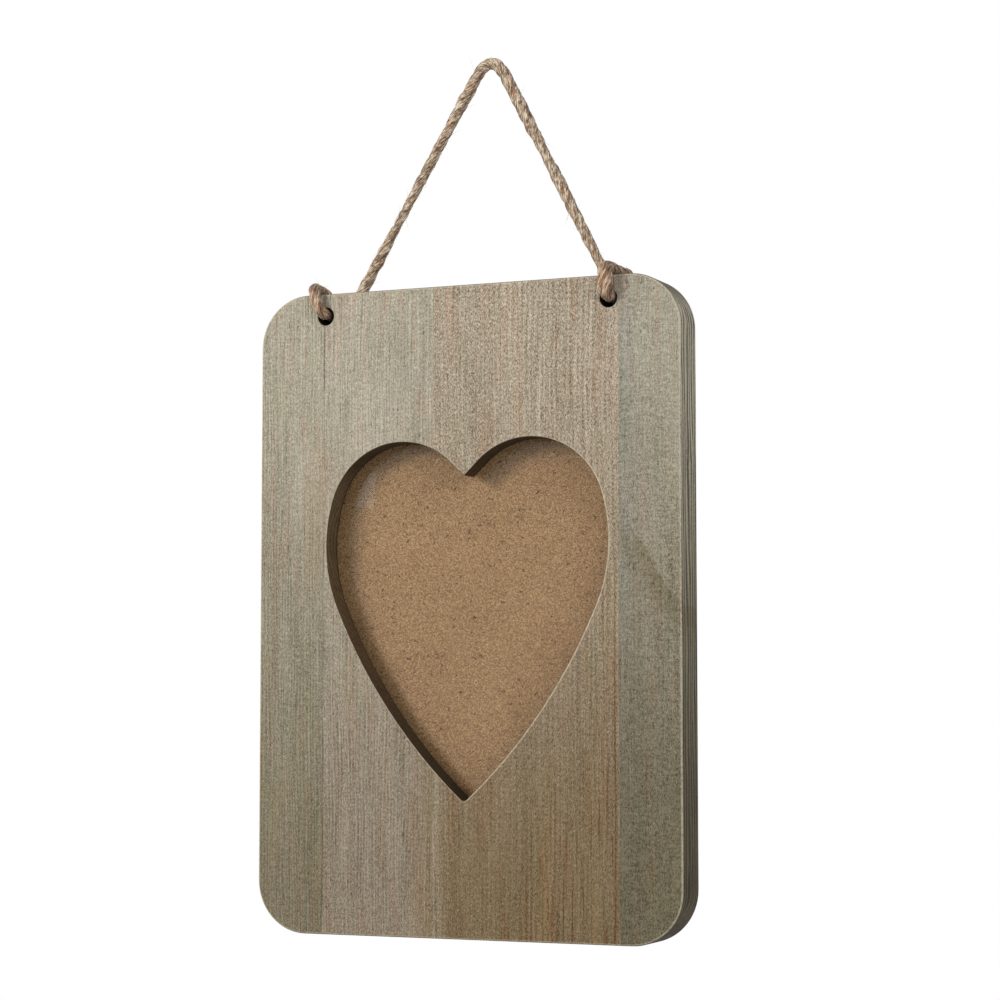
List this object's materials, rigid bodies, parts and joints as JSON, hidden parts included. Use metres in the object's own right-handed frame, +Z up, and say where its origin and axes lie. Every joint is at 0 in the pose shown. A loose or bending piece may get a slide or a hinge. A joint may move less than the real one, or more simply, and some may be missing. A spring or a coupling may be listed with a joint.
{
  "type": "heart shaped photo frame",
  "caption": "Upright weathered pine picture frame with a heart-shaped glazed window, rear turn buttons and a jute twine hanger looped through its top corners.",
  "frame": {"origin": "the hanging point: the underside of the twine where it lies over the wall's screw or hook", "axes": "+Z up along the grain, +X to the right as seen from the front, +Y towards the wall, so the window faces -Y"},
  "size_m": [0.148, 0.0293, 0.2889],
  "materials": {
    "weathered_pine": "grey weathered, matt",
    "glass": "clear float glass",
    "fibreboard": "plain brown fibreboard",
    "plated_steel": "nickel plated",
    "screw_steel": "zinc plated",
    "jute": "natural jute, hairy"
  },
  "bodies": {
    "frame": {"stave_left": "weathered_pine", "stave_middle": "weathered_pine", "stave_right": "weathered_pine", "glass_pane": "glass", "backing_board": "fibreboard", "button_screws": "screw_steel", "hanging_twine": "jute", "twine_loop_left": "jute", "twine_loop_right": "jute", "knot_left": "jute", "knot_right": "jute"},
    "button_left": {"turn_button_left": "plated_steel"},
    "button_right": {"turn_button_right": "plated_steel"},
    "button_top": {"turn_button_top": "plated_steel"},
    "button_bottom": {"turn_button_bottom": "plated_steel"}
  },
  "joints": [
    {"name": "button_left_turn", "type": "hinge", "parent": "frame", "child": "button_left", "pos_m": [-0.06527, -0.009, -0.18424], "axis": [0, 1, 0], "continuous": true},
    {"name": "button_right_turn", "type": "hinge", "parent": "frame", "child": "button_right", "pos_m": [0.06527, -0.009, -0.18424], "axis": [0, 1, 0], "continuous": true},
    {"name": "button_top_turn", "type": "hinge", "parent": "frame", "child": "button_top", "pos_m": [0, -0.009, -0.11057], "axis": [0, 1, 0], "continuous": true},
    {"name": "button_bottom_turn", "type": "hinge", "parent": "frame", "child": "button_bottom", "pos_m": [0, -0.009, -0.25791], "axis": [0, 1, 0], "continuous": true}
  ]
}
